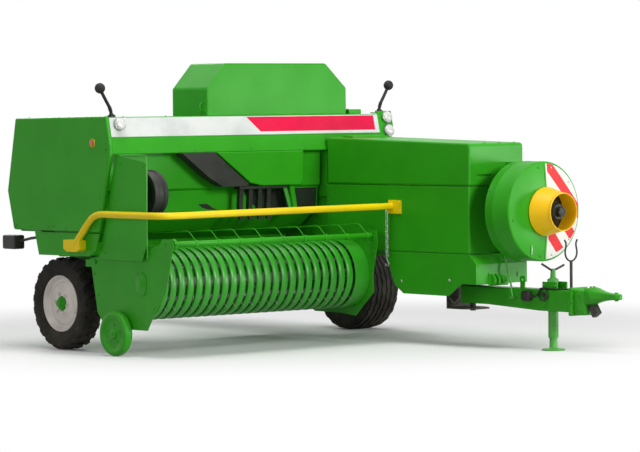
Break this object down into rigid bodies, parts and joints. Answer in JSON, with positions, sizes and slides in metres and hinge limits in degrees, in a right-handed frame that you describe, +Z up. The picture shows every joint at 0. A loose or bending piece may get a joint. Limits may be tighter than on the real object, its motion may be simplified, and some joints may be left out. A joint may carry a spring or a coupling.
{
  "type": "square baler",
  "caption": "Green towed square baler with a tined pickup, wind guard, yellow guard rail, plunger case, flywheel cover, swinging drawbar and screw jack.",
  "frame": {"origin": "on the ground, at the centre of the machine's footprint", "axes": "+Z up, -Y towards the tractor, +X to the machine's left side"},
  "size_m": [3.0599, 4.96, 1.96],
  "materials": {
    "green_paint": "gloss paint",
    "dark_metal": "satin black paint",
    "tyre_rubber": "matt rubber",
    "black_rubber": "matt rubber",
    "rim_paint": "satin silver paint",
    "yellow_paint": "gloss paint",
    "bare_steel": "zinc plated",
    "white_film": "gloss film",
    "lamp_lens": "clear reflector",
    "red_lens": "red reflector"
  },
  "bodies": {
    "baler": {"main_frame": "green_paint", "plunger_case": "green_paint", "case_lid": "green_paint", "case_skirt": "green_paint", "drawbar_bracket": "green_paint", "bale_chamber": "green_paint", "tension_frame": "green_paint", "cross_deck": "green_paint", "knotter_case": "green_paint", "front_strip": "white_film", "front_lamp": "lamp_lens", "lamp_bracket": "green_paint", "left_lamp_lower": "lamp_lens", "left_lamp_upper": "lamp_lens", "right_marker": "black_rubber", "left_marker": "black_rubber", "twine_box": "green_paint", "side_hood": "green_paint", "hood_reflector": "red_lens", "side_skirt": "green_paint", "rear_lamp": "dark_metal", "side_guard": "green_paint", "feeder_case": "green_paint", "feeder_floor": "green_paint", "feeder_cover": "green_paint", "feeder_guides": "dark_metal", "packer_forks": "dark_metal", "guard_rail": "yellow_paint", "lift_chain": "bare_steel", "gearbox": "dark_metal", "flywheel_cover": "green_paint", "shaft_cone": "yellow_paint", "hazard_board": "white_film"},
    "right_wheel": {"right_tyre": "tyre_rubber", "right_rim": "rim_paint", "right_hub": "green_paint"},
    "left_wheel": {"left_tyre": "tyre_rubber", "left_rim": "rim_paint", "left_hub": "green_paint"},
    "pickup": {"pickup_right_plate": "green_paint", "pickup_left_plate": "green_paint", "pickup_strippers": "green_paint"},
    "reel": {"pickup_reel": "bare_steel"},
    "gauge_wheel": {"gauge_wheel": "green_paint"},
    "wind_guard": {"wind_guard": "green_paint"},
    "flywheel": {"flywheel": "green_paint"},
    "feeder_pulley": {"feeder_pulley": "dark_metal"},
    "tongue": {"drawbar": "green_paint", "lamp_coupler": "black_rubber", "hitch": "green_paint", "jack_tube": "green_paint", "shaft_fork": "dark_metal"},
    "jack_leg": {"jack_leg": "green_paint"},
    "tall_hood": {"tall_hood": "green_paint"},
    "chute": {"bale_chute": "green_paint"}
  },
  "joints": [
    {"name": "right_wheel_spin", "type": "hinge", "parent": "baler", "child": "right_wheel", "pos_m": [-1.295, 0.73, 0.318], "axis": [1, 0, 0], "continuous": true},
    {"name": "left_wheel_spin", "type": "hinge", "parent": "baler", "child": "left_wheel", "pos_m": [1.385, 0.73, 0.318], "axis": [1, 0, 0], "continuous": true},
    {"name": "pickup_lift", "type": "hinge", "parent": "baler", "child": "pickup", "pos_m": [-0.495, 0.26, 0.62], "axis": [-1, 0, 0], "range_deg": [0, 10]},
    {"name": "reel_spin", "type": "hinge", "parent": "pickup", "child": "reel", "pos_m": [-0.495, -0.24, 0.485], "axis": [1, 0, 0], "continuous": true},
    {"name": "gauge_wheel_spin", "type": "hinge", "parent": "pickup", "child": "gauge_wheel", "pos_m": [-1.45, -0.012, 0.15], "axis": [1, 0, 0], "continuous": true},
    {"name": "wind_guard_swing", "type": "hinge", "parent": "pickup", "child": "wind_guard", "pos_m": [-0.495, -0.5, 0.755], "axis": [1, 0, 0], "range_deg": [0, 10]},
    {"name": "flywheel_spin", "type": "hinge", "parent": "baler", "child": "flywheel", "pos_m": [0.84, -1.78, 0.932], "axis": [0, 1, 0], "continuous": true},
    {"name": "feeder_pulley_spin", "type": "hinge", "parent": "baler", "child": "feeder_pulley", "pos_m": [-1.253, -0.12, 1.08], "axis": [1, 0, 0], "continuous": true},
    {"name": "drawbar_swing", "type": "hinge", "parent": "baler", "child": "tongue", "pos_m": [0.84, -1.07, 0.266], "axis": [0, 0, 1], "range_deg": [-25, 25]},
    {"name": "jack_slide", "type": "slide", "parent": "tongue", "child": "jack_leg", "axis": [0, 0, 1], "range_m": [0, 0.055]},
    {"name": "tall_hood_lift", "type": "hinge", "parent": "baler", "child": "tall_hood", "pos_m": [0.185, 0.6, 1.5953], "axis": [-1, 0, 0], "range_deg": [0, 60]},
    {"name": "chute_fold", "type": "hinge", "parent": "baler", "child": "chute", "pos_m": [0.785, 2.05, 0.64], "axis": [1, 0, 0], "range_deg": [0, 75]}
  ]
}
